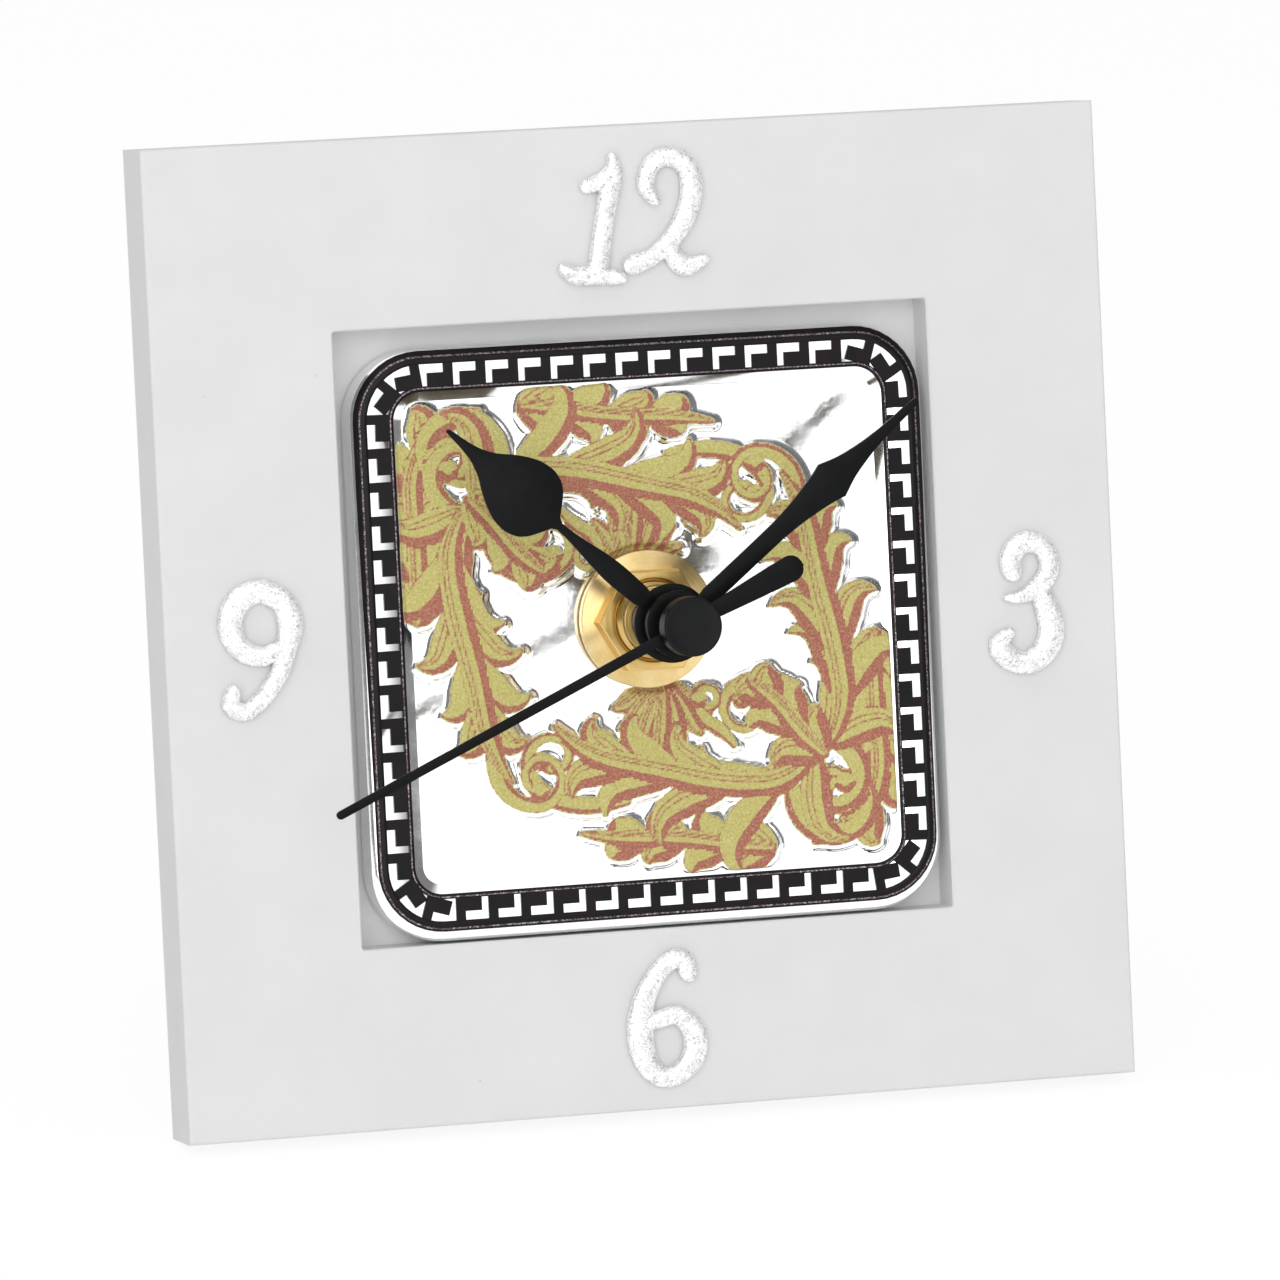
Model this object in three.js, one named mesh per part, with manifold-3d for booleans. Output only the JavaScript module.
// Small square table clock: a cast board that leans back on a folding wire leg, a mirror tile set
// in its recess, raised numerals, three hands, and a quartz movement clamped to its back.
// Units are millimetres. Inside the clock group x runs to the viewer's right, y from the front of
// the board to its back, and z up the board. The hands turn about the y axis, and y = 0 is the
// front face of the board. The group is then leaned back and set down with +z up.

import * as THREE from 'three';
import { mergeVertices } from 'three/addons/utils/BufferGeometryUtils.js';
import Module from 'manifold-3d';

const wasm = await Module();
wasm.setup();

const { PI, sin, cos, max, min, sqrt } = Math;
const radians = (degrees) => (degrees * PI) / 180;

// Clearances
const seatGap = 0.3; // between faces that rest on each other
const pressGap = 0.2; // round a pressed or screwed piece
const runGap = 0.15; // round a shaft that turns

// Board
const boardWidth = 100;
const boardHeight = 100;
const boardThickness = 8;
const boardEdgeRadius = 0.35;
const leanAngle = 10; // degrees back from upright
const recessWidth = 62.4;
const recessHeight = 62.4;
const recessDepth = 4.5;
const recessCornerRadius = 0.3;
const recessLipChamfer = 0.15;
const recessShiftDown = 0.4; // the recess was cast a little below the middle

// Tile
const tileWidth = 60;
const tileHeight = 59.8;
const tileThickness = 4.2;
const tileCornerRadius = 6;
const tileShoulder = 0.8; // rounded edge between side and face
const tileBorderWidth = 3.7; // flat band of the key border
const tileFieldDrop = 0.5; // the picture field lies this far below the border
const tileFieldSlope = 0.6;
const tileShiftRight = 0.25; // the tile was set a little to the right
const tilePadRadius = 6.4; // seat of the washer, level with the border

// Numerals
const numeralHeight = 0.9;
const numeralSink = 0.12; // thickness of the plain foot under the rounded top

// Bushing, nut, washer and gasket
const bushingRadius = 3.9;
const bushingReach = 4.5; // tip in front of the board's face
const bushingBoreRadius = 2.65;
const bushingFlangeRadius = 5.6;
const bushingFlangeThickness = 0.8;
const bushingRimWidth = 0.35;
const washerRadius = 7;
const washerThickness = 0.8;
const nutAcrossFlats = 10;
const nutThickness = 2;
const nutChamfer = 0.5;
const gasketRadius = 9;
const gasketThickness = 0.8;

// Hands
const handThickness = 0.4;
const hourHandFront = 10.1; // front faces, measured forward from the board's face
const minuteHandFront = 12.6;
const secondHandFront = 15.3;
const hourHandLength = 30.5;
const hourHandAngle = 312.8; // degrees clockwise from twelve
const hourDiscRadius = 4;
const hourColletRadius = 3.3;
const hourColletLength = 3;
const minuteHandLength = 33.5;
const minuteHandAngle = 51;
const minuteDiscRadius = 3.4;
const minuteBossLength = 1.3;
const secondHandLength = 40.5;
const secondHandAngle = 245.6;
const secondTailLength = 13.5;
const secondBossRadius = 1.6;
const secondBossLength = 1.9;
const capRadius = 3;
const capThickness = 2;
const capEdge = 0.45;

// Arbors and tubes on the axis of the hands
const hourTubeRadius = 2.5;
const hourTubeBore = 1.95;
const minuteTubeRadius = 1.75;
const minuteTubeBore = 0.7;
const secondArborRadius = 0.5;
const pivotRadius = 0.35;
const knobArborRadius = 0.8;
const clutchSeatRadius = 1.1; // seat of the centre wheel on the minute arbor
const clutchCollarRadius = 1.6; // keeps the centre wheel on its seat
const minutePostRadius = 0.45; // fixed post of the minute wheel

// Movement case; its width follows from the battery that lies across it
const caseHeight = 56;
const caseCornerRadius = 3;
const caseWall = 1.2;
const caseInnerDepth = 13.4;
const coverThickness = 1.2;
const coverBossRadius = 1.3;
const coverBossLength = 0.8;
const pivotDepth = 0.9; // depth of a pivot in its bearing
const screwPostRadius = 2.4;
const screwPostInset = 3.4; // from the outside of the case to the axis of a screw
const screwRadius = 1;
const screwHeadRadius = 1.9;
const screwHeadThickness = 1.1;
const screwLength = 7;
const slotWidth = 0.6;
const slotDepth = 0.5;

// Battery and contacts
const batteryRadius = 7.1;
const batteryLength = 49.4;
const batteryNubRadius = 2.7;
const batteryNubLength = 1;
const contactThickness = 0.4;
const contactWidth = 9;
const contactHeight = 10;
const contactTail = 4;
const contactSpringDepth = 1.6;

// Gears: numbers of teeth, and distances between axes
const rotorPinionTeeth = 6;
const stepWheelTeeth = 36;
const stepPinionTeeth = 8;
const secondWheelTeeth = 40;
const secondPinionTeeth = 6;
const thirdWheelTeeth = 45;
const thirdPinionTeeth = 6;
const centreWheelTeeth = 48;
const minutePinionTeeth = 8;
const minuteWheelTeeth = 24;
const motionPinionTeeth = 8;
const hourWheelTeeth = 32;
const rotorDistance = 5.25;
const stepDistance = 7.6;
const thirdDistance = 7.65;
const minuteDistance = 6.4;
const thirdDirection = 150; // degrees from +x towards +z
const stepDirection = 20;
const rotorDirection = 60;
const minuteDirection = 215;
const knobDirection = 195;
const wheelThickness = 0.6;
const layerGap = 0.5; // between one wheel and the next

// Rotor, stator and coil
const magnetRadius = 2.8;
const magnetThickness = 2.4;
const statorThickness = 1;
const statorWidth = 14;
const statorArm = 3.2;
const statorBaseHeight = 6.2;
const statorHeight = 17.6;
const statorHoleGap = 0.4;
const coreThickness = 1;
const coreSeatRadius = 1.1;
const bobbinFlangeRadius = 3.6;
const bobbinFlangeThickness = 0.6;
const bobbinTubeRadius = 1.9;
const coilRadius = 3.3;

// Circuit board and crystal
const circuitWidth = 22;
const circuitHeight = 14;
const circuitThickness = 0.8;
const circuitPostRadius = 1.2;
const crystalRadius = 1;
const crystalLength = 6;

// Setting knob
const knobRadius = 4.5;
const knobThickness = 2.6;
const knobFlutes = 18;
const knobFluteDepth = 0.3;

// Rear leg
const wireRadius = 1.25;
const wireBendRadius = 4;
const legSideClearance = 2.2; // between the case and the wire that passes it
const legTilt = 9.3; // degrees from the vertical when open
const pivotHeight = 22; // above the axis of the hands
const pivotStandOff = 3.5; // from the back of the board to the pivot's axis
const stubLength = 8;
const lugThickness = 4.5;
const lugWall = 1.6;
const lugBaseThickness = 1.4;
const lugBaseLength = 18;
const stopReach = 9; // from the pivot down the leg to the middle of the stop
const stopThickness = 1.6;
const stopLength = 3;
const sleeveLength = 26;
const sleeveWall = 0.75;
const soleDrop = 1.9; // from the crossbar's axis to the flat sole

// Surface finishes, one entry for each kind of piece
const finishes = {
  board: { color: 0xe6e6e5, roughness: 0.85, metalness: 0 },
  tile: { color: 0xe8e8ea, roughness: 0.08, metalness: 1 },
  leaf: { color: 0xf0f0f0, roughness: 0.35, metalness: 0.9 },
  brass: { color: 0xe0c068, roughness: 0.25, metalness: 1 },
  black: { color: 0x151515, roughness: 0.45, metalness: 0 },
  case: { color: 0x1c1c1e, roughness: 0.6, metalness: 0 },
  rubber: { color: 0x202020, roughness: 0.9, metalness: 0 },
  steel: { color: 0xb9bbbe, roughness: 0.3, metalness: 1 },
  wheel: { color: 0xece6d2, roughness: 0.5, metalness: 0 },
  magnet: { color: 0x55565a, roughness: 0.4, metalness: 0.6 },
  copper: { color: 0xb4622c, roughness: 0.35, metalness: 0.9 },
  circuit: { color: 0x2f6b3c, roughness: 0.6, metalness: 0 },
  battery: { color: 0x3c4046, roughness: 0.35, metalness: 0.3 },
};

// Places that follow from the sizes above
const bayWidth = batteryLength + batteryNubLength + contactThickness + contactSpringDepth + 4 * seatGap;
const caseWidth = bayWidth + 2 * caseWall;
const legHalfWidth = caseWidth / 2 + legSideClearance + wireRadius; // to the wire's axis
const tileBack = recessDepth - seatGap;
const tileFront = tileBack - tileThickness;
const tileCentreX = tileShiftRight;
const recessCentreZ = -recessShiftDown;
const tileCentreZ = recessCentreZ - recessHeight / 2 + seatGap + tileHeight / 2;
const washerBack = tileFront - seatGap;
const washerFront = washerBack - washerThickness;
const nutBack = washerFront - seatGap;
const nutFront = nutBack - nutThickness;
const gasketFront = boardThickness + seatGap;
const gasketBack = gasketFront + gasketThickness;
const caseFront = gasketBack + seatGap;
const caseInside = caseFront + caseWall;
const caseRim = caseInside + caseInnerDepth;
const coverFront = caseRim + seatGap;
const coverBack = coverFront + coverThickness;
const flangeFront = caseInside + seatGap;
const flangeBack = flangeFront + bushingFlangeThickness;

// Layers of the wheels, from the front of the case to its back
const hourLayer = flangeBack + layerGap;
const minuteLayer = hourLayer + wheelThickness + layerGap;
const centreLayer = minuteLayer + wheelThickness + layerGap;
const thirdLayer = centreLayer + 2 * (wheelThickness + layerGap);
const secondLayer = thirdLayer + wheelThickness + layerGap;
const stepLayer = secondLayer + wheelThickness + layerGap;
const magnetFront = stepLayer + wheelThickness + layerGap;

// Axes in the plane of the board
const along = (from, distance, direction) => ({
  x: from.x + distance * cos(radians(direction)),
  z: from.z + distance * sin(radians(direction)),
});
const centreAxis = { x: 0, z: 0 };
const thirdAxis = along(centreAxis, thirdDistance, thirdDirection);
const stepAxis = along(centreAxis, stepDistance, stepDirection);
const rotorAxis = along(stepAxis, rotorDistance, rotorDirection);
const minuteAxis = along(centreAxis, minuteDistance, minuteDirection);
const knobAxis = along(minuteAxis, minuteDistance, knobDirection);

// Outlines: lists of points, x to the right and y up the board
const point = (x, z) => new THREE.Vector2(x, z);

function arc(x, z, radius, from, to, steps) {
  const points = [];
  for (let i = 0; i <= steps; i += 1) {
    const angle = from + ((to - from) * i) / steps;
    points.push(point(x + radius * cos(angle), z + radius * sin(angle)));
  }
  return points;
}

function circle(radius, sides, centre = centreAxis) {
  return arc(centre.x, centre.z, radius, 0, 2 * PI, sides).slice(0, sides);
}

function roundedRect(width, height, radius, steps, x = 0, z = 0) {
  const right = x + width / 2 - radius;
  const left = x - width / 2 + radius;
  const top = z + height / 2 - radius;
  const bottom = z - height / 2 + radius;
  return [
    ...arc(right, top, radius, 0, PI / 2, steps),
    ...arc(left, top, radius, PI / 2, PI, steps),
    ...arc(left, bottom, radius, PI, 1.5 * PI, steps),
    ...arc(right, bottom, radius, 1.5 * PI, 2 * PI, steps),
  ];
}

function rectangle(left, right, bottom, top) {
  return [point(left, bottom), point(right, bottom), point(right, top), point(left, top)];
}

// A mirrored outline about a line from the hub: stations are [distance, half width]
function spindleOutline(stations) {
  const one = stations.map(([distance, half]) => point(half, distance));
  const other = stations.map(([distance, half]) => point(-half, distance)).reverse();
  return [...one, ...other];
}

// Solids from outlines and profiles
function prism(outline, front, back, holes = []) {
  const shape = new THREE.Shape(outline);
  shape.holes = holes.map((hole) => new THREE.Path(hole));
  const geometry = new THREE.ExtrudeGeometry(shape, { depth: back - front, bevelEnabled: false });
  geometry.rotateX(PI / 2);
  geometry.translate(0, back, 0);
  return geometry;
}

// A prism whose front and back edges are rounded; the outline is its widest one
function softPrism(outline, front, back, edge, steps, rise = edge) {
  const geometry = new THREE.ExtrudeGeometry(new THREE.Shape(outline), {
    depth: back - front - 2 * rise,
    bevelEnabled: true,
    bevelSize: edge,
    bevelOffset: -edge,
    bevelThickness: rise,
    bevelSegments: steps,
  });
  geometry.rotateX(PI / 2);
  geometry.translate(0, back - rise, 0);
  return geometry;
}

// A body of revolution about an axis along y; the profile is a list of [radius, y]
function turned(profile, sides, centre = centreAxis) {
  const points = profile.map(([radius, y]) => point(radius, y));
  const geometry = new THREE.LatheGeometry(points, sides);
  geometry.translate(centre.x, 0, centre.z);
  return geometry;
}

const rod = (radius, front, back, sides, centre) =>
  turned([[0, front], [radius, front], [radius, back], [0, back]], sides, centre);

const tube = (inner, outer, front, back, sides, centre) =>
  turned([[inner, front], [outer, front], [outer, back], [inner, back], [inner, front]], sides, centre);

// Merges shared corners, keeps only the positions and turns the faces outwards
function closed(geometry) {
  const bare = geometry.clone();
  bare.deleteAttribute('normal');
  bare.deleteAttribute('uv');
  const merged = mergeVertices(bare, 1e-4);
  const index = [];
  const a = new THREE.Vector3();
  const b = new THREE.Vector3();
  const c = new THREE.Vector3();
  let volume = 0;
  for (let i = 0; i < merged.index.count; i += 3) {
    const [p, q, r] = [0, 1, 2].map((k) => merged.index.getX(i + k));
    if (p === q || q === r || r === p) continue;
    index.push([p, q, r]);
    a.fromBufferAttribute(merged.attributes.position, p);
    b.fromBufferAttribute(merged.attributes.position, q);
    c.fromBufferAttribute(merged.attributes.position, r);
    volume += a.dot(b.cross(c));
  }
  merged.setIndex(index.flatMap(([p, q, r]) => (volume < 0 ? [p, r, q] : [p, q, r])));
  return merged;
}

function asSolid(geometry) {
  const merged = closed(geometry);
  return new wasm.Manifold(new wasm.Mesh({
    numProp: 3,
    vertProperties: new Float32Array(merged.attributes.position.array),
    triVerts: new Uint32Array(merged.index.array),
  }));
}

function asGeometry(solid) {
  const mesh = solid.getMesh();
  const geometry = new THREE.BufferGeometry();
  geometry.setAttribute('position', new THREE.BufferAttribute(mesh.vertProperties, 3));
  geometry.setIndex(new THREE.BufferAttribute(mesh.triVerts, 1));
  return geometry;
}

const join = (first, ...others) =>
  asGeometry(others.reduce((solid, other) => solid.add(asSolid(other)), asSolid(first)));

const cut = (first, ...tools) =>
  asGeometry(tools.reduce((solid, tool) => solid.subtract(asSolid(tool)), asSolid(first)));

// Adds a named mesh with its own material to a group
function add(group, name, geometry, finish) {
  const mesh = new THREE.Mesh(closed(geometry), new THREE.MeshStandardMaterial(finishes[finish]));
  mesh.name = name;
  group.add(mesh);
  return mesh;
}

// Board: square plate with rounded edges, a recess for the tile and a hole for the bushing
function boardGeometry() {
  const outline = rectangle(-boardWidth / 2, boardWidth / 2, -boardHeight / 2, boardHeight / 2);
  const plate = softPrism(outline, 0, boardThickness, boardEdgeRadius, 3);
  const recessOutline = roundedRect(recessWidth, recessHeight, recessCornerRadius, 4, 0, recessCentreZ);
  const recess = prism(recessOutline, -seatGap, recessDepth);
  const lipOutline = roundedRect(
    recessWidth + 4 * recessLipChamfer,
    recessHeight + 4 * recessLipChamfer,
    recessCornerRadius + 2 * recessLipChamfer,
    4,
    0,
    recessCentreZ,
  );
  const lip = softPrism(lipOutline, -3 * recessLipChamfer, recessLipChamfer, 2 * recessLipChamfer, 1);
  const hole = rod(bushingRadius + pressGap, 0, boardThickness + seatGap, 32);
  const holeEnd = boardThickness - screwLength + lugBaseThickness;
  const lugHoles = lugScrewPlaces().map((place) =>
    rod(screwRadius + pressGap, holeEnd, boardThickness + 1, 12, place));
  return cut(plate, recess, lip, hole, ...lugHoles);
}

// Tile: thick slab with a rounded shoulder, a flat border, a sunk field and a seat for the washer
function tileGeometry() {
  const outline = roundedRect(
    tileWidth, tileHeight, tileCornerRadius, 6, tileCentreX, tileCentreZ);
  const slab = softPrism(outline, tileFront, tileBack + 2 * tileShoulder, tileShoulder, 3);
  const trim = prism(rectangle(-boardWidth, boardWidth, -boardHeight, boardHeight), tileBack, boardWidth);
  const fieldInset = 2 * (tileShoulder + tileBorderWidth);
  const fieldOutline = roundedRect(
    tileWidth - fieldInset,
    tileHeight - fieldInset,
    tileCornerRadius - tileShoulder - 1,
    4,
    tileCentreX,
    tileCentreZ,
  );
  const field = softPrism(
    fieldOutline,
    tileFront - 2 * tileFieldDrop,
    tileFront + tileFieldDrop,
    tileFieldSlope,
    1,
    tileFieldDrop,
  );
  const pad = rod(tilePadRadius, tileFront, tileFront + 2 * tileFieldDrop, 32);
  const hole = rod(bushingRadius + pressGap, tileFront - 1, tileBack + 1, 32);
  return cut(join(cut(slab, trim, field), pad), hole);
}

// A numeral's stroke: a soft ridge along a smooth line through [x, z, width] stations
function stroke(stations, rings) {
  const line = new THREE.CatmullRomCurve3(
    stations.map(([x, z, width]) => new THREE.Vector3(x, z, width)), false, 'centripetal');
  const points = line.getPoints(rings);
  const sections = points.map((centre, i) => {
    const before = points[max(i - 1, 0)];
    const after = points[min(i + 1, rings)];
    const heading = point(after.x - before.x, after.y - before.y).normalize();
    return { centre: point(centre.x, centre.y), heading, half: centre.z / 2 };
  });
  const roundEnd = (section, side) => [0.95, 0.7].map((reach) => ({
    centre: section.centre.clone().addScaledVector(section.heading, side * reach * section.half),
    heading: section.heading,
    half: section.half * sqrt(1 - reach * reach),
  }));
  const start = roundEnd(sections[0], -1);
  const end = roundEnd(sections[rings], 1).reverse();
  return ridge([...start, ...sections, ...end]);
}

// Half-round sections joined into one closed skin that stands on the board's face
function ridge(sections) {
  const steps = 6;
  const positions = [];
  const index = [];
  const count = steps + 3;
  sections.forEach(({ centre, heading, half }) => {
    const push = (across, rise) => positions.push(
      centre.x - heading.y * across, -seatGap - rise, centre.y + heading.x * across);
    push(half, 0);
    for (let k = 0; k <= steps; k += 1) {
      const angle = (PI * k) / steps;
      const lift = numeralSink + (numeralHeight - numeralSink) * sin(angle) ** 0.7;
      push(half * cos(angle), lift);
    }
    push(-half, 0);
  });
  for (let i = 0; i + 1 < sections.length; i += 1) {
    for (let k = 0; k < count; k += 1) {
      const a = i * count + k;
      const b = i * count + ((k + 1) % count);
      index.push(a, b, b + count, a, b + count, a + count);
    }
  }
  const last = (sections.length - 1) * count;
  for (let k = 1; k + 1 < count; k += 1) {
    index.push(0, k + 1, k, last, last + k, last + k + 1);
  }
  const geometry = new THREE.BufferGeometry();
  geometry.setAttribute('position', new THREE.Float32BufferAttribute(positions, 3));
  geometry.setIndex(index);
  return geometry;
}

// Strokes of the numerals: [x, z, width] along each line, on the board's face
const numeralStrokes = {
  numeral_12_one: [
    [[-1.4, 46.9, 0.5], [-1.3, 45.6, 1.3], [-1.7, 44.0, 1.8], [-2.4, 41.0, 1.6], [-3.0, 38.0, 1.7],
      [-3.4, 35.6, 1.8]],
    [[-1.5, 45.3, 1.3], [-2.6, 44.5, 1.3], [-4.2, 44.0, 1.1]],
    [[-7.0, 35.8, 0.8], [-5.8, 35.1, 1.5], [-3.6, 35.0, 1.6], [-1.2, 34.6, 1.0]],
  ],
  numeral_12_two: [
    [[2.8, 42.3, 0.8], [2.0, 43.6, 1.4], [2.4, 45.5, 1.5], [4.0, 46.6, 1.6], [5.9, 46.1, 1.7],
      [6.8, 44.1, 1.9], [6.4, 41.4, 1.9], [5.0, 38.9, 1.7], [3.0, 37.0, 1.4], [1.5, 36.2, 1.5],
      [0.3, 35.9, 1.8]],
    [[4.2, 38.0, 1.2], [4.6, 36.4, 1.5], [5.6, 35.5, 1.8], [6.8, 35.6, 1.2], [7.8, 36.1, 0.6]],
  ],
  numeral_3: [
    [[38.9, 2.5, 1.8], [38.8, 3.9, 1.9], [40.2, 5.3, 1.9], [42.0, 5.0, 1.8], [43.0, 3.2, 1.7],
      [42.4, 1.4, 1.7], [40.9, 0.2, 1.4], [39.4, -0.3, 0.8], [38.1, -0.3, 0.3]],
    [[41.7, 0.4, 1.5], [42.5, -1.6, 2.2], [42.9, -3.9, 2.4], [42.0, -6.0, 2.3], [40.0, -7.1, 1.9],
      [38.1, -6.4, 2.0], [37.1, -5.0, 1.8], [38.3, -3.9, 0.7]],
  ],
  numeral_6: [
    [[2.5, -36.2, 1.5], [2.2, -34.9, 1.6], [1.0, -34.7, 1.6], [-0.9, -36.3, 1.6], [-2.3, -38.8, 2.0],
      [-2.8, -41.8, 2.4], [-2.3, -45.0, 2.1], [-0.6, -46.7, 1.7], [1.3, -46.3, 1.7], [2.8, -44.5, 2.1],
      [2.9, -42.3, 2.1], [1.9, -40.8, 1.7]],
    [[2.5, -41.4, 1.8], [1.2, -40.4, 1.6], [-1.4, -40.9, 1.4]],
  ],
  numeral_9: [
    [[-38.4, -0.6, 1.2], [-40.3, -1.3, 1.7], [-42.5, -0.3, 1.9], [-43.4, 2.2, 2.2], [-42.3, 4.5, 2.2],
      [-40.1, 5.3, 2.0], [-38.1, 4.4, 2.1]],
    [[-39.4, 5.1, 1.9], [-37.9, 4.3, 2.0], [-37.1, 1.9, 2.3], [-37.6, -0.3, 1.9], [-38.5, -3.0, 1.5],
      [-40.4, -5.5, 1.4], [-42.3, -6.8, 1.4], [-43.7, -6.0, 1.5], [-43.4, -4.8, 1.3]],
  ],
};

function numeralGeometry(strokes) {
  return join(...strokes.map((stations) => stroke(stations, 2 * stations.length)));
}

// Bushing: threaded tube whose flange lies inside the case
function bushingGeometry() {
  const tip = -bushingReach;
  return turned([
    [bushingBoreRadius, tip],
    [bushingRadius - bushingRimWidth, tip],
    [bushingRadius, tip + bushingRimWidth],
    [bushingRadius, flangeFront],
    [bushingFlangeRadius, flangeFront],
    [bushingFlangeRadius, flangeBack],
    [bushingBoreRadius, flangeBack],
    [bushingBoreRadius, tip],
  ], 32);
}

// Nut: hexagon with flats above and below, its front corners turned off by a cone
function nutGeometry() {
  const cornerRadius = nutAcrossFlats / 2 / cos(PI / 6);
  const hexagon = prism(circle(cornerRadius, 6), nutFront, nutBack, [circle(bushingRadius + pressGap, 32)]);
  const flatRadius = nutAcrossFlats / 2;
  const cone = turned([
    [flatRadius - nutChamfer / 2, nutFront - 1],
    [2 * cornerRadius, nutFront - 1],
    [2 * cornerRadius, nutFront + (2 * cornerRadius - flatRadius) * nutChamfer],
    [flatRadius - nutChamfer / 2, nutFront - nutChamfer / 4],
    [flatRadius - nutChamfer / 2, nutFront - 1],
  ], 48);
  return cut(hexagon, cone);
}

// Hands, drawn pointing to twelve and turned to their places by their groups
function hourHandGeometry() {
  const front = -hourHandFront;
  const tip = hourHandLength;
  const blade = prism(spindleOutline([
    [hourDiscRadius / 2, 1.0], [hourDiscRadius + 1, 1.08], [7.5, 1.15], [10, 0.97], [12.5, 0.62],
    [14.4, 0.42], [15.3, 0.4], [15.9, 0.75], [16.5, 1.75], [17.3, 2.9], [18.3, 3.65], [19.6, 3.95],
    [20.9, 3.8], [22.2, 3.3], [23.6, 2.5], [25.2, 1.4], [26.9, 0.7], [28.6, 0.4], [tip - 0.2, 0.2],
    [tip, 0.08],
  ]), front, front + handThickness);
  const disc = rod(hourDiscRadius, front, front + handThickness, 36);
  const collet = rod(hourColletRadius, front, front + hourColletLength, 28);
  const bore = rod(hourTubeRadius + pressGap, front - 1, front + hourColletLength + 1, 28);
  return cut(join(blade, disc, collet), bore);
}

function minuteHandGeometry() {
  const front = -minuteHandFront;
  const tip = minuteHandLength;
  const blade = prism(spindleOutline([
    [1, 0.95], [9, 0.93], [13.5, 0.95], [16, 1.1], [18.5, 1.45], [20.3, 1.8], [21.4, 2.12], [23.5, 1.36],
    [25, 1.02], [27, 0.7], [29.5, 0.48], [tip - 0.5, 0.3], [tip - 0.15, 0.22], [tip, 0.08],
  ]), front, front + handThickness);
  const disc = rod(minuteDiscRadius - 0.4, front, front + handThickness, 32);
  const boss = rod(minuteDiscRadius, front + handThickness - 0.1, front + minuteBossLength, 32);
  const bore = rod(minuteTubeRadius + pressGap, front - 1, front + minuteBossLength + 1, 24);
  return cut(join(blade, disc, boss), bore);
}

function secondHandGeometry() {
  const front = -secondHandFront;
  const endRadius = 1.32;
  const tail = arc(0, endRadius - secondTailLength, endRadius, 0, -PI, 8);
  const needle = prism([
    point(0.75, -3), point(0.6, 0), point(0.52, 6), point(0.42, secondHandLength),
    point(-0.42, secondHandLength), point(-0.52, 6), point(-0.6, 0), point(-0.75, -3), ...tail.reverse(),
  ], front, front + handThickness);
  const boss = rod(secondBossRadius, front, front + secondBossLength, 24);
  const bore = rod(secondArborRadius + pressGap, front - 1, front + secondBossLength + 1, 16);
  return cut(join(needle, boss), bore);
}

function capGeometry() {
  const back = -secondHandFront - seatGap;
  const front = back - capThickness;
  const edge = arc(capRadius - capEdge, front + capEdge, capEdge, -PI / 2, 0, 4);
  return turned([
    [0, front - 0.1],
    ...edge.map(({ x, y }) => [x, y]),
    [capRadius, back],
    [0, back],
  ], 36);
}

// Gear outline with straight-sided teeth; phase is the direction of one tooth's middle
function gear(teeth, distance, mate, phase) {
  const module = (2 * distance) / (teeth + mate);
  const pitch = (2 * PI) / teeth;
  const rootRadius = module * (teeth / 2 - 1.05);
  const tipRadius = module * (teeth / 2 + 0.75);
  const rootHalf = pitch * 0.27;
  const tipHalf = pitch * 0.1;
  const points = [];
  for (let i = 0; i < teeth; i += 1) {
    const middle = phase + i * pitch;
    points.push(point(rootRadius * cos(middle - rootHalf), rootRadius * sin(middle - rootHalf)));
    points.push(point(tipRadius * cos(middle - tipHalf), tipRadius * sin(middle - tipHalf)));
    points.push(point(tipRadius * cos(middle + tipHalf), tipRadius * sin(middle + tipHalf)));
    points.push(point(rootRadius * cos(middle + rootHalf), rootRadius * sin(middle + rootHalf)));
  }
  return points;
}

// Phase that puts a gap of one gear opposite a tooth of its mate, seen along a direction in degrees
function meshPhase(matePhase, mateTeeth, teeth, direction) {
  const line = radians(direction);
  return line + PI - ((matePhase - line) * mateTeeth) / teeth + PI / teeth;
}

const moved = (outline, axis) => outline.map(({ x, y }) => point(x + axis.x, y + axis.z));

// An arbor between the bearings of the case and of the cover
function arbor(axis, front = caseInside - pivotDepth) {
  return rod(pivotRadius, front + 0.1, coverFront + 0.1, 10, axis);
}

// Pinion of the knob and pinion of the minute arbor mesh with the same minute wheel
const minuteWheelPhase = radians(minuteDirection + 180);
const hourWheelPhase = meshPhase(
  radians(minuteDirection + 180), motionPinionTeeth, hourWheelTeeth, minuteDirection + 180);
const minutePinionPhase = meshPhase(
  minuteWheelPhase, minuteWheelTeeth, minutePinionTeeth, minuteDirection + 180);
const knobPinionPhase = meshPhase(
  minuteWheelPhase, minuteWheelTeeth, minutePinionTeeth, knobDirection);

function rotorPinionGeometry() {
  const phase = meshPhase(radians(rotorDirection), stepWheelTeeth, rotorPinionTeeth, rotorDirection);
  const outline = moved(gear(rotorPinionTeeth, rotorDistance, stepWheelTeeth, phase), rotorAxis);
  const pinion = prism(outline, stepLayer - layerGap / 2, stepLayer + wheelThickness + layerGap / 2);
  return join(arbor(rotorAxis), pinion);
}

function magnetGeometry() {
  const magnetBack = magnetFront + magnetThickness;
  return tube(pivotRadius + pressGap, magnetRadius, magnetFront, magnetBack, 24, rotorAxis);
}

function stepWheelGeometry() {
  const teeth = gear(stepWheelTeeth, rotorDistance, rotorPinionTeeth, radians(rotorDirection));
  const wheel = prism(moved(teeth, stepAxis), stepLayer, stepLayer + wheelThickness);
  const phase = meshPhase(radians(stepDirection), secondWheelTeeth, stepPinionTeeth, stepDirection);
  const leaves = gear(stepPinionTeeth, stepDistance, secondWheelTeeth, phase);
  const pinion = prism(moved(leaves, stepAxis), secondLayer - layerGap / 2, stepLayer + wheelThickness / 2);
  return join(arbor(stepAxis), wheel, pinion);
}

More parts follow.
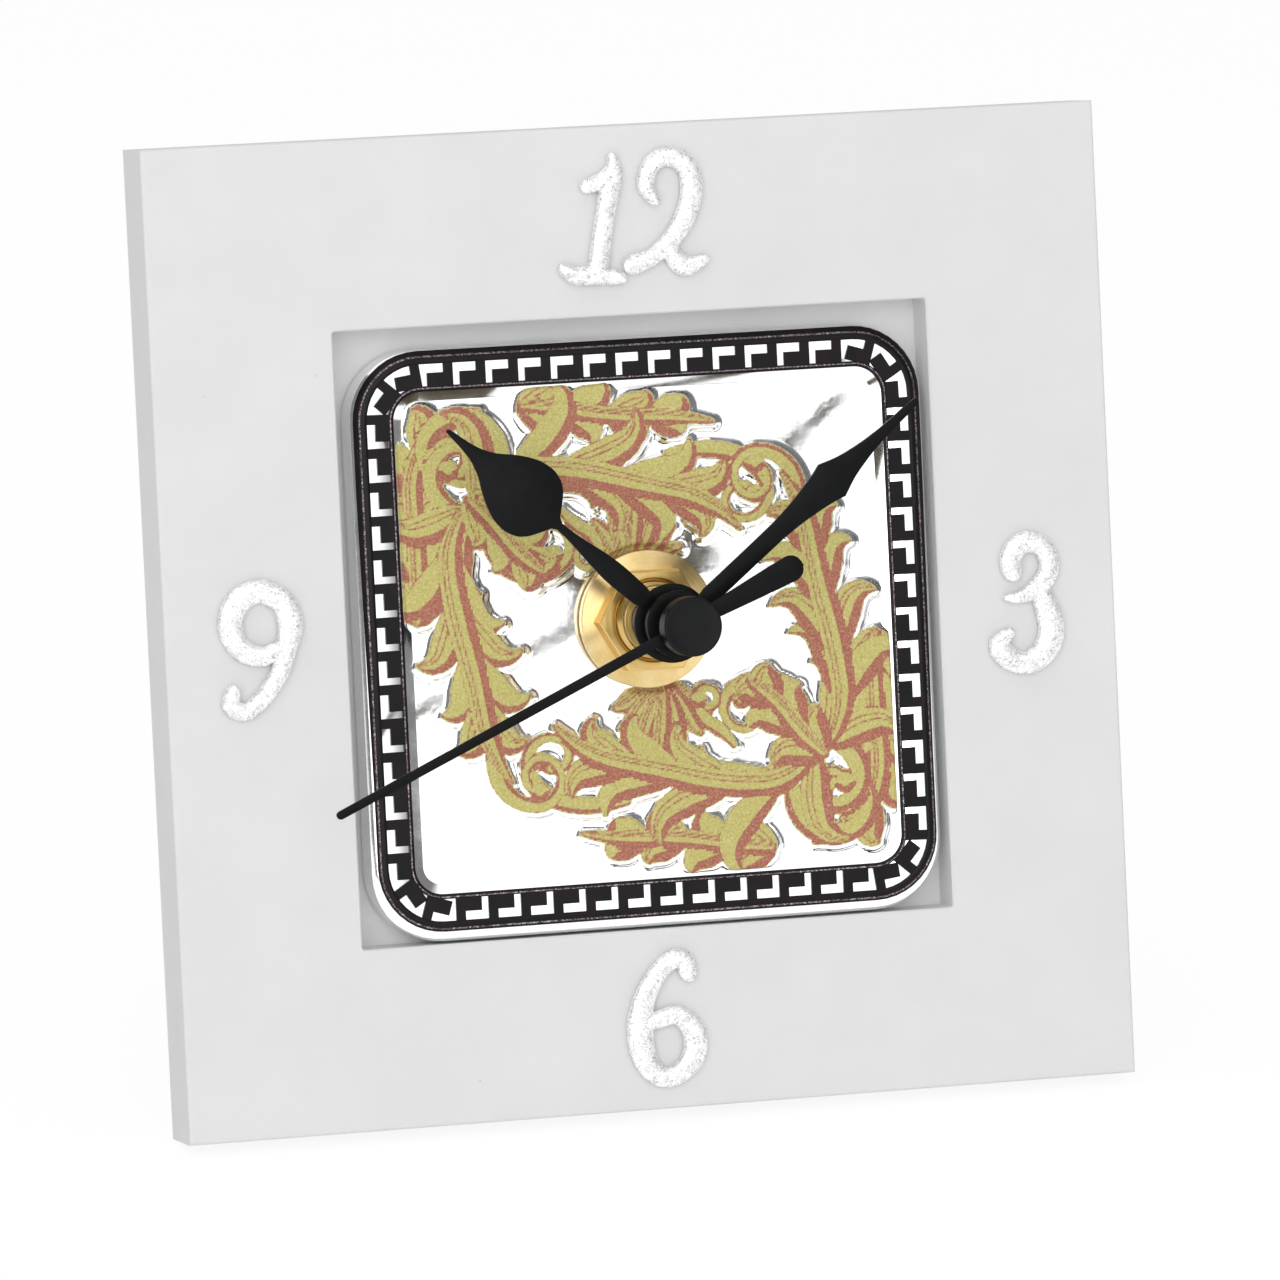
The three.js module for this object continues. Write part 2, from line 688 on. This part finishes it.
function secondWheelGeometry() {
  const teeth = gear(secondWheelTeeth, stepDistance, stepPinionTeeth, radians(stepDirection));
  const wheel = prism(teeth, secondLayer, secondLayer + wheelThickness, [circle(secondArborRadius / 2, 12)]);
  const phase = meshPhase(radians(thirdDirection + 180), thirdWheelTeeth, secondPinionTeeth,
    thirdDirection + 180);
  const leaves = gear(secondPinionTeeth, thirdDistance, thirdWheelTeeth, phase);
  const pinion = prism(leaves, thirdLayer - layerGap / 2, secondLayer + wheelThickness / 2);
  const shaft = rod(secondArborRadius, -secondHandFront, coverFront - coverBossLength - seatGap, 16);
  return join(shaft, wheel, pinion, arbor(centreAxis, secondLayer));
}

function thirdWheelGeometry() {
  const teeth = gear(thirdWheelTeeth, thirdDistance, secondPinionTeeth, radians(thirdDirection + 180));
  const wheel = prism(moved(teeth, thirdAxis), thirdLayer, thirdLayer + wheelThickness);
  const phase = meshPhase(radians(thirdDirection), centreWheelTeeth, thirdPinionTeeth, thirdDirection);
  const leaves = gear(thirdPinionTeeth, thirdDistance, centreWheelTeeth, phase);
  const pinion = prism(moved(leaves, thirdAxis), centreLayer - layerGap / 2, thirdLayer + wheelThickness / 2);
  return join(arbor(thirdAxis), wheel, pinion);
}

// Centre wheel: toothed ring that grips the minute arbor by friction, so that the hands can be set
function centreWheelGeometry() {
  const teeth = gear(centreWheelTeeth, thirdDistance, thirdPinionTeeth, radians(thirdDirection));
  const windows = [0, 1, 2].map((k) => circle(1.3, 12, along(centreAxis, 4, 120 * k)));
  const bore = circle(clutchSeatRadius + runGap, 20);
  return prism(teeth, centreLayer, centreLayer + wheelThickness, [bore, ...windows]);
}

// Minute arbor: tube of the minute hand, pinion of the motion work and seat of the centre wheel
function minuteArborGeometry() {
  const leaves = gear(minutePinionTeeth, minuteDistance, minuteWheelTeeth, minutePinionPhase);
  const pinion = prism(leaves, minuteLayer - layerGap / 4, minuteLayer + wheelThickness + layerGap / 4);
  const collarFront = centreLayer + wheelThickness + layerGap / 2;
  const body = turned([
    [0, -minuteHandFront],
    [minuteTubeRadius, -minuteHandFront],
    [minuteTubeRadius, minuteLayer - layerGap / 4],
    [clutchSeatRadius, minuteLayer - layerGap / 4],
    [clutchSeatRadius, collarFront],
    [clutchCollarRadius, collarFront],
    [clutchCollarRadius, collarFront + layerGap],
    [0, collarFront + layerGap],
  ], 24);
  const bore = rod(minuteTubeBore, -minuteHandFront - 1, collarFront + layerGap + 1, 16);
  return cut(join(body, pinion), bore);
}

// Minute wheel and its pinion turn on a fixed post of the case
function minuteWheelGeometry() {
  const teeth = gear(minuteWheelTeeth, minuteDistance, minutePinionTeeth, minuteWheelPhase);
  const wheel = prism(moved(teeth, minuteAxis), minuteLayer, minuteLayer + wheelThickness);
  const leaves = gear(motionPinionTeeth, minuteDistance, hourWheelTeeth, radians(minuteDirection + 180));
  const pinion = prism(moved(leaves, minuteAxis), hourLayer, minuteLayer + wheelThickness / 2);
  const boreEnd = minuteLayer + wheelThickness + 1;
  const bore = rod(minutePostRadius + runGap, hourLayer - 1, boreEnd, 12, minuteAxis);
  return cut(join(wheel, pinion), bore);
}

function hourWheelGeometry() {
  const teeth = gear(hourWheelTeeth, minuteDistance, motionPinionTeeth, hourWheelPhase);
  const wheel = prism(teeth, hourLayer, hourLayer + wheelThickness);
  const pipe = rod(hourTubeRadius, -hourHandFront, hourLayer + wheelThickness / 2, 28);
  const bore = rod(hourTubeBore, -hourHandFront - 1, hourLayer + wheelThickness + 1, 24);
  return cut(join(wheel, pipe), bore);
}

// Setting knob: fluted wheel behind the cover, on an arbor with a pinion in the motion work
function knobGeometry() {
  const knobFront = coverBack + seatGap;
  const rim = [];
  for (let i = 0; i < 2 * knobFlutes; i += 1) {
    const radius = i % 2 ? knobRadius - knobFluteDepth : knobRadius;
    rim.push(point(radius * cos((PI * i) / knobFlutes), radius * sin((PI * i) / knobFlutes)));
  }
  const knobBack = knobFront + knobThickness;
  const disc = prism(moved(rim, knobAxis), knobFront, knobBack);
  const dish = rod(knobRadius / 2, knobBack - 0.6, knobBack + 1, 24, knobAxis);
  const shaft = rod(knobArborRadius, minuteLayer - layerGap / 2, knobFront + 0.5, 16, knobAxis);
  const pivot = rod(pivotRadius, caseInside - pivotDepth + 0.1, minuteLayer, 10, knobAxis);
  const leaves = gear(minutePinionTeeth, minuteDistance, minuteWheelTeeth, knobPinionPhase);
  const pinionBack = minuteLayer + wheelThickness + 0.2;
  const pinion = prism(moved(leaves, knobAxis), minuteLayer - layerGap / 2, pinionBack);
  return cut(join(shaft, disc, pivot, pinion), dish);
}

// Case: tray with a partition between the movement and the battery bay, posts and bearings
const bayTop = -caseHeight / 2 + caseWall + 2 * (batteryRadius + seatGap);
const partitionTop = bayTop + caseWall;
const coverBottom = partitionTop;

const screwPlaces = [
  { x: -caseWidth / 2 + screwPostInset, z: caseHeight / 2 - screwPostInset },
  { x: caseWidth / 2 - screwPostInset, z: caseHeight / 2 - screwPostInset },
  { x: -caseWidth / 2 + screwPostInset, z: partitionTop + screwPostInset },
  { x: caseWidth / 2 - screwPostInset, z: partitionTop + screwPostInset },
];

const arborAxes = { rotor: rotorAxis, step: stepAxis, third: thirdAxis };

const circuitCentre = {
  x: screwPlaces[0].x + screwPostRadius + 2 * seatGap + circuitWidth / 2,
  z: caseHeight / 2 - caseWall - 1 - circuitHeight / 2,
};
const circuitFront = stepLayer;
const circuitPosts = [
  { x: circuitCentre.x - circuitWidth / 2 + 3, z: circuitCentre.z },
  { x: circuitCentre.x + circuitWidth / 2 - 3, z: circuitCentre.z },
];

function caseGeometry() {
  const outer = prism(roundedRect(caseWidth, caseHeight, caseCornerRadius, 4), caseFront, caseRim);
  const innerWidth = caseWidth - 2 * caseWall;
  const innerTop = caseHeight / 2 - caseWall;
  const roomHeight = innerTop - partitionTop;
  const room = prism(
    roundedRect(innerWidth, roomHeight, 1.5, 2, 0, partitionTop + roomHeight / 2), caseInside, caseRim + 1);
  const bayBottom = -caseHeight / 2 + caseWall;
  const bayHeight = bayTop - bayBottom;
  const bay = prism(
    roundedRect(innerWidth, bayHeight, 1.5, 2, 0, bayBottom + bayHeight / 2), caseInside, caseRim + 1);
  const hole = rod(bushingRadius + pressGap, caseFront - 1, caseInside + 1, 32);
  const posts = screwPlaces.map((place) => rod(screwPostRadius, caseInside - 0.4, caseRim, 16, place));
  const postHoles = screwPlaces.map((place) =>
    rod(screwRadius + pressGap, coverBack - screwLength - 0.5, caseRim + 1, 10, place));
  const bearings = [...Object.values(arborAxes), knobAxis].map((axis) =>
    rod(pivotRadius + runGap, caseInside - pivotDepth, caseInside + 1, 10, axis));
  const postEnd = minuteLayer + wheelThickness + 0.2;
  const minutePost = rod(minutePostRadius, caseInside - 0.4, postEnd, 10, minuteAxis);
  const circuitSeats = circuitPosts.map((place) =>
    rod(circuitPostRadius, caseInside - 0.4, circuitFront - seatGap, 12, place));
  const coreSeats = coreEnds.map((place) =>
    rod(coreSeatRadius, caseInside - 0.4, coreFront - seatGap, 12, place));
  const hollow = cut(outer, room, bay, hole, ...bearings);
  return cut(join(hollow, ...posts, minutePost, ...circuitSeats, ...coreSeats), ...postHoles);
}

function coverGeometry() {
  const height = caseHeight / 2 - coverBottom;
  const outline = roundedRect(caseWidth, height, caseCornerRadius, 4, 0, coverBottom + height / 2);
  const plate = prism(outline, coverFront, coverBack);
  const axes = [...Object.values(arborAxes), centreAxis];
  const bosses = axes.map((axis) =>
    rod(coverBossRadius, coverFront - coverBossLength, coverFront + 0.4, 16, axis));
  const bearings = axes.map((axis) =>
    rod(pivotRadius + runGap, coverFront - coverBossLength - 1, coverFront + 0.4, 10, axis));
  const knobHole = rod(knobArborRadius + runGap, coverFront - 1, coverBack + 1, 16, knobAxis);
  const screwHoles = screwPlaces.map((place) =>
    rod(screwRadius + pressGap, coverFront - 1, coverBack + 1, 10, place));
  return cut(join(plate, ...bosses), ...bearings, knobHole, ...screwHoles);
}

// Slotted pan-head screw along y; head is the y of the face under its head
function screwGeometry(head, place, length) {
  const body = turned([
    [0, head - length],
    [screwRadius * 0.6, head - length],
    [screwRadius, head - length + 0.8],
    [screwRadius, head],
    [screwHeadRadius, head],
    [screwHeadRadius, head + screwHeadThickness * 0.6],
    [screwHeadRadius * 0.7, head + screwHeadThickness],
    [0, head + screwHeadThickness],
  ], 14, place);
  const slot = prism(
    rectangle(place.x - 3, place.x + 3, place.z - slotWidth / 2, place.z + slotWidth / 2),
    head + screwHeadThickness - slotDepth,
    head + screwHeadThickness + 1,
  );
  return cut(body, slot);
}

// Battery: lies across the bottom of the case, its plus end to the right
const batteryY = caseInside + seatGap + batteryRadius;
const batteryZ = -caseHeight / 2 + caseWall + seatGap + batteryRadius;
const bayEnd = bayWidth / 2;
const batteryRight = bayEnd - 2 * seatGap - contactThickness - batteryNubLength;

function batteryGeometry() {
  const crimp = 0.5;
  const left = batteryRight - batteryLength;
  const can = new THREE.LatheGeometry([
    [0, left], [batteryRadius - crimp, left], [batteryRadius, left + crimp],
    [batteryRadius, batteryRight - crimp], [batteryRadius - crimp, batteryRight],
    [batteryNubRadius, batteryRight],
    [batteryNubRadius, batteryRight + batteryNubLength], [0, batteryRight + batteryNubLength],
  ].map(([radius, x]) => point(radius, x)), 28);
  can.rotateZ(-PI / 2);
  can.translate(0, batteryY, batteryZ);
  return can;
}

// Contacts: the plus one is a flat plate, the minus one is folded into a leaf spring
function contactGeometry(profile) {
  const plate = new THREE.ExtrudeGeometry(new THREE.Shape(profile), {
    depth: contactWidth, bevelEnabled: false });
  plate.translate(0, 0, batteryZ - contactWidth / 2);
  return plate;
}

function plusContactGeometry() {
  const right = bayEnd - seatGap;
  const left = right - contactThickness;
  const front = batteryY - contactHeight / 2;
  const back = batteryY + contactHeight / 2;
  return contactGeometry([point(left, front), point(right, front), point(right, back), point(left, back)]);
}

function minusContactGeometry() {
  const left = -bayEnd + seatGap;
  const spring = batteryRight - batteryLength - seatGap;
  const front = batteryY - contactHeight / 2;
  const back = batteryY + contactHeight / 2;
  return contactGeometry([
    point(left, front),
    point(left + contactThickness, front),
    point(left + contactThickness, back - contactThickness),
    point(spring - contactThickness, batteryY + contactThickness),
    point(left + 2 * contactThickness, batteryY - contactTail),
    point(left + 3 * contactThickness, batteryY - contactTail),
    point(spring, batteryY + contactThickness),
    point(left + contactThickness, back),
    point(left, back),
  ]);
}

// Stator: U-shaped plate round the magnet; the core bar joins its arms through the bobbin
const statorFront = magnetFront + (magnetThickness - statorThickness) / 2;
const statorCentreX = rotorAxis.x;
const statorBottom = rotorAxis.z - statorBaseHeight / 2 + 0.6;
const armCentre = statorWidth / 2 - statorArm / 2;
const coreFront = statorFront - seatGap - coreThickness;
const coreZ = statorBottom + statorHeight - statorArm / 2;
const coreEnds = [
  { x: statorCentreX - armCentre, z: coreZ },
  { x: statorCentreX + armCentre, z: coreZ },
];

function statorGeometry() {
  const left = statorCentreX - statorWidth / 2;
  const right = statorCentreX + statorWidth / 2;
  const top = statorBottom + statorHeight;
  const inside = statorBottom + statorBaseHeight;
  const outline = [
    point(left, statorBottom), point(right, statorBottom), point(right, top), point(right - statorArm, top),
    point(right - statorArm, inside), point(left + statorArm, inside), point(left + statorArm, top),
    point(left, top),
  ];
  const hole = rod(
    magnetRadius + statorHoleGap, statorFront - 1, statorFront + statorThickness + 1, 28, rotorAxis);
  return cut(prism(outline, statorFront, statorFront + statorThickness), hole);
}

function coreGeometry() {
  const left = statorCentreX - statorWidth / 2;
  const right = statorCentreX + statorWidth / 2;
  const half = coreThickness;
  const waist = statorWidth / 2 - statorArm;
  return prism([
    point(left, coreZ - statorArm / 2), point(left + statorArm, coreZ - statorArm / 2),
    point(statorCentreX - waist, coreZ - half), point(statorCentreX + waist, coreZ - half),
    point(right - statorArm, coreZ - statorArm / 2), point(right, coreZ - statorArm / 2),
    point(right, coreZ + statorArm / 2), point(right - statorArm, coreZ + statorArm / 2),
    point(statorCentreX + waist, coreZ + half), point(statorCentreX - waist, coreZ + half),
    point(left + statorArm, coreZ + statorArm / 2), point(left, coreZ + statorArm / 2),
  ], coreFront, coreFront + coreThickness);
}

// A turned piece whose axis lies along x through the middle of the core
function acrossCore(profile, sides) {
  const geometry = new THREE.LatheGeometry(profile.map(([radius, x]) => point(radius, x)), sides);
  geometry.rotateZ(-PI / 2);
  geometry.translate(statorCentreX, coreFront + coreThickness / 2, coreZ);
  return geometry;
}

const bobbinHalf = statorWidth / 2 - statorArm - seatGap;

function bobbinGeometry() {
  const neck = bobbinHalf - bobbinFlangeThickness;
  const spool = acrossCore([
    [0, -bobbinHalf], [bobbinFlangeRadius, -bobbinHalf], [bobbinFlangeRadius, -neck],
    [bobbinTubeRadius, -neck], [bobbinTubeRadius, neck], [bobbinFlangeRadius, neck],
    [bobbinFlangeRadius, bobbinHalf], [0, bobbinHalf],
  ], 24);
  const half = coreThickness + pressGap;
  const slot = prism(
    rectangle(statorCentreX - statorWidth, statorCentreX + statorWidth, coreZ - half, coreZ + half),
    coreFront - pressGap,
    coreFront + coreThickness + pressGap,
  );
  return cut(spool, slot);
}

function coilGeometry() {
  const half = bobbinHalf - bobbinFlangeThickness - seatGap;
  const inner = bobbinTubeRadius + pressGap;
  return acrossCore([
    [inner, -half], [coilRadius, -half], [coilRadius, half], [inner, half], [inner, -half],
  ], 24);
}

function circuitGeometry() {
  const outline = roundedRect(circuitWidth, circuitHeight, 1, 2, circuitCentre.x, circuitCentre.z);
  return prism(outline, circuitFront, circuitFront + circuitThickness);
}

function crystalGeometry() {
  const back = circuitFront + circuitThickness + seatGap + crystalRadius;
  const can = new THREE.CylinderGeometry(crystalRadius, crystalRadius, crystalLength, 14);
  can.rotateZ(PI / 2);
  can.translate(circuitCentre.x, back, circuitCentre.z + circuitHeight / 4);
  return can;
}

// Rear leg. The pivot's height above the table gives the length at which its sole is level with the
// lower back edge of the board.
const lean = radians(leanAngle);
const pivotY = boardThickness + pivotStandOff;
const edgeDrop = (boardThickness - boardEdgeRadius) * sin(lean) + (boardHeight / 2) * cos(lean);
const pivotRise = edgeDrop - pivotY * sin(lean) + pivotHeight * cos(lean);
const legLength = (pivotRise - soleDrop) / cos(radians(legTilt)); // from the pivot to the crossbar
const legOpening = lean + radians(legTilt); // from the back of the board
const foot = {
  y: pivotY + legLength * sin(legOpening),
  z: pivotHeight - legLength * cos(legOpening),
};

// Wire path in the leg's own plane: x across, y down the leg
class WirePath extends THREE.CurvePath {
  constructor() {
    super();
    const bend = wireBendRadius;
    const corners = [
      [legHalfWidth + stubLength, 0], [legHalfWidth, 0], [legHalfWidth, legLength],
      [-legHalfWidth, legLength], [-legHalfWidth, 0], [-legHalfWidth - stubLength, 0],
    ].map(([x, down]) => new THREE.Vector3(x, 0, -down));
    let start = corners[0];
    for (let i = 1; i + 1 < corners.length; i += 1) {
      const corner = corners[i];
      const into = corner.clone().addScaledVector(corner.clone().sub(corners[i - 1]).normalize(), -bend);
      const out = corner.clone().addScaledVector(corners[i + 1].clone().sub(corner).normalize(), bend);
      this.add(new THREE.LineCurve3(start, into));
      this.add(new THREE.QuadraticBezierCurve3(into, corner, out));
      start = out;
    }
    this.add(new THREE.LineCurve3(start, corners[corners.length - 1]));
  }
}

function legGeometry() {
  const section = new THREE.Shape(circle(wireRadius, 8));
  return new THREE.ExtrudeGeometry(section, { steps: 96, bevelEnabled: false, extrudePath: new WirePath() });
}

// Rubber sleeve on the crossbar with a flat sole, in the leg's own plane
function sleeveGeometry() {
  const bore = wireRadius + seatGap;
  const outer = bore + sleeveWall;
  const pipe = new THREE.LatheGeometry([
    [bore, -sleeveLength / 2], [outer, -sleeveLength / 2], [outer, sleeveLength / 2],
    [bore, sleeveLength / 2], [bore, -sleeveLength / 2],
  ].map(([radius, x]) => point(radius, x)), 24);
  pipe.rotateZ(-PI / 2);
  const below = new THREE.BoxGeometry(2 * sleeveLength, 4 * outer, 2 * outer);
  below.translate(0, 0, -soleDrop - outer);
  return cut(pipe, below);
}

// Lugs: a base screwed to the board, a boss round the wire's stub and a stop behind the leg
function lugScrewPlaces() {
  const x = legHalfWidth + wireRadius + seatGap + lugThickness / 2;
  const z = pivotHeight;
  const offset = lugBaseLength / 2 - screwHeadRadius - 0.3;
  return [
    { x: -x, z: z + offset }, { x: -x, z: z - offset }, { x, z: z + offset }, { x, z: z - offset },
  ];
}

function lugGeometry(side) {
  const inner = legHalfWidth + wireBendRadius + 0.5;
  const outer = inner + lugThickness;
  const screwX = lugScrewPlaces()[2].x;
  const baseFront = boardThickness + seatGap;
  const baseBack = baseFront + lugBaseThickness;
  const baseBottom = pivotHeight - lugBaseLength / 2;
  const base = prism(
    rectangle(screwX - screwHeadRadius - 0.4, outer, baseBottom, baseBottom + lugBaseLength),
    baseFront,
    baseBack,
  );
  const bossRadius = wireRadius + pressGap + lugWall;
  const boss = new THREE.CylinderGeometry(bossRadius, bossRadius, lugThickness, 20);
  boss.rotateZ(PI / 2);
  boss.translate((inner + outer) / 2, pivotY, pivotHeight);
  const web = prism(
    rectangle(inner, outer, pivotHeight - bossRadius, pivotHeight + bossRadius), baseFront, pivotY);
  const bore = new THREE.CylinderGeometry(wireRadius + pressGap, wireRadius + pressGap, 4 * lugThickness, 16);
  bore.rotateZ(PI / 2);
  bore.translate((inner + outer) / 2, pivotY, pivotHeight);
  // The stop lies square to the open leg, just behind it, on an arm that comes off the boss
  const stop = new THREE.BoxGeometry(
    outer - legHalfWidth + wireRadius, stopThickness, stopLength + stopReach - stopLength / 2);
  stop.translate(
    (outer + legHalfWidth - wireRadius) / 2,
    wireRadius + runGap + stopThickness / 2,
    -(stopReach + stopLength / 2) / 2 - stopLength / 4,
  );
  const clear = new THREE.BoxGeometry(
    inner - legHalfWidth + 2 * wireRadius,
    4 * stopThickness,
    stopReach - stopLength / 2 + 2 * wireRadius,
  );
  clear.translate(
    (inner + legHalfWidth - 2 * wireRadius) / 2,
    wireRadius + stopThickness,
    -(stopReach - stopLength / 2) / 2,
  );
  const arm = cut(stop, clear);
  arm.rotateX(legOpening);
  arm.translate(0, pivotY, pivotHeight);
  const screwHoles = lugScrewPlaces().slice(2).map((place) =>
    rod(screwRadius + pressGap, baseFront - 1, baseBack + 1, 12, place));
  const lug = cut(join(base, boss, web, arm), bore, ...screwHoles);
  if (side < 0) lug.scale(-1, 1, 1);
  return lug;
}

// Assembly
const clock = new THREE.Group();
const handGroup = (degrees) => {
  const group = new THREE.Group();
  group.rotation.y = radians(degrees);
  clock.add(group);
  return group;
};

add(clock, 'board', boardGeometry(), 'board');
add(clock, 'tile', tileGeometry(), 'tile');
Object.entries(numeralStrokes).forEach(([name, strokes]) =>
  add(clock, name, numeralGeometry(strokes), 'leaf'));
add(clock, 'bushing', bushingGeometry(), 'brass');
add(clock, 'washer', tube(bushingRadius + pressGap, washerRadius, washerFront, washerBack, 40), 'brass');
add(clock, 'nut', nutGeometry(), 'brass');
add(clock, 'gasket', tube(bushingRadius + pressGap, gasketRadius, gasketFront, gasketBack, 32), 'rubber');

add(handGroup(hourHandAngle), 'hour_hand', hourHandGeometry(), 'black');
add(handGroup(minuteHandAngle), 'minute_hand', minuteHandGeometry(), 'black');
const secondGroup = handGroup(secondHandAngle);
add(secondGroup, 'second_hand', secondHandGeometry(), 'black');
add(secondGroup, 'hand_cap', capGeometry(), 'black');

add(clock, 'movement_case', caseGeometry(), 'case');
add(clock, 'case_cover', coverGeometry(), 'case');
screwPlaces.forEach((place, i) =>
  add(clock, `cover_screw_${i + 1}`, screwGeometry(coverBack + seatGap, place, screwLength), 'steel'));
add(clock, 'battery', batteryGeometry(), 'battery');
add(clock, 'contact_plus', plusContactGeometry(), 'steel');
add(clock, 'contact_minus', minusContactGeometry(), 'steel');
add(clock, 'circuit_board', circuitGeometry(), 'circuit');
add(clock, 'quartz_crystal', crystalGeometry(), 'steel');
add(clock, 'stator', statorGeometry(), 'steel');
add(clock, 'coil_core', coreGeometry(), 'steel');
add(clock, 'coil_bobbin', bobbinGeometry(), 'case');
add(clock, 'coil_winding', coilGeometry(), 'copper');

add(clock, 'rotor_pinion', rotorPinionGeometry(), 'wheel');
add(clock, 'rotor_magnet', magnetGeometry(), 'magnet');
add(clock, 'step_wheel', stepWheelGeometry(), 'wheel');
add(clock, 'second_wheel', secondWheelGeometry(), 'wheel');
add(clock, 'third_wheel', thirdWheelGeometry(), 'wheel');
add(clock, 'centre_wheel', centreWheelGeometry(), 'wheel');
add(clock, 'minute_arbor', minuteArborGeometry(), 'brass');
add(clock, 'minute_wheel', minuteWheelGeometry(), 'wheel');
add(clock, 'hour_wheel', hourWheelGeometry(), 'wheel');
add(clock, 'setting_knob', knobGeometry(), 'wheel');

add(clock, 'pivot_lug_left', lugGeometry(-1), 'steel');
add(clock, 'pivot_lug_right', lugGeometry(1), 'steel');
lugScrewPlaces().forEach((place, i) => {
  const head = boardThickness + seatGap + lugBaseThickness + seatGap;
  add(clock, `lug_screw_${i + 1}`, screwGeometry(head, place, screwLength), 'steel');
});

const leg = new THREE.Group();
leg.position.set(0, pivotY, pivotHeight);
leg.rotation.x = legOpening;
clock.add(leg);
add(leg, 'rear_leg', legGeometry(), 'steel');
const footGroup = new THREE.Group();
footGroup.position.set(0, foot.y, foot.z);
footGroup.rotation.x = lean;
clock.add(footGroup);
add(footGroup, 'leg_sleeve', sleeveGeometry(), 'rubber');

// Lean the clock back, then set it down on the middle of its footprint
clock.rotation.x = -lean;
clock.updateMatrixWorld(true);
const bounds = new THREE.Box3().setFromObject(clock, true);
const middle = bounds.getCenter(new THREE.Vector3());
clock.position.set(-middle.x, -middle.y, -bounds.min.z);

const part = new THREE.Group();
part.add(clock);
part.updateMatrixWorld(true);

export default part;
